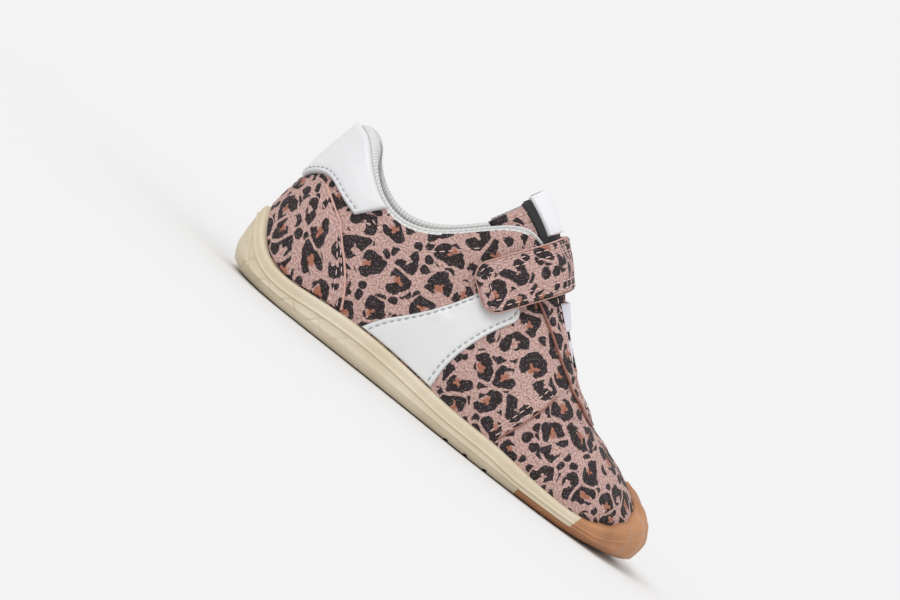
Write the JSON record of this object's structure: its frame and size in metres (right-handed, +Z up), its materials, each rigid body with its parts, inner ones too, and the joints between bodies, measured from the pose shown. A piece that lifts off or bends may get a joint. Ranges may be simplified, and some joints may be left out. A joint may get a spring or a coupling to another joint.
{
  "type": "toddler strap sneaker",
  "caption": "Low toddler's sneaker for the right foot with a hook-and-loop strap, cream cup sole, gum toe guard, padded heel tab and open collar.",
  "frame": {"origin": "on the floor under the middle of the shoe's bounding box", "axes": "+X from heel to toe, +Y to the inner side of a right foot, +Z up"},
  "size_m": [0.1578, 0.0674, 0.0789],
  "materials": {
    "leopard_cloth": "printed leopard canvas with a fine glitter",
    "cream_rubber": "matte cream rubber",
    "gum_rubber": "satin gum rubber",
    "white_leather": "smooth white leather",
    "white_tape": "woven tape",
    "white_elastic": "ribbed elastic",
    "insole_foam": "cloth over foam"
  },
  "bodies": {
    "root": {"upper": "leopard_cloth", "sole": "cream_rubber", "toe_guard": "gum_rubber", "insole": "insole_foam", "tongue": "leopard_cloth", "tongue_label": "white_tape", "elastic_1": "white_elastic", "elastic_2": "white_elastic", "eyestay": "leopard_cloth", "heel_counter": "leopard_cloth", "heel_tab": "white_leather", "saddle_outer": "white_leather", "saddle_inner": "white_leather", "strap": "leopard_cloth"}
  },
  "joints": []
}
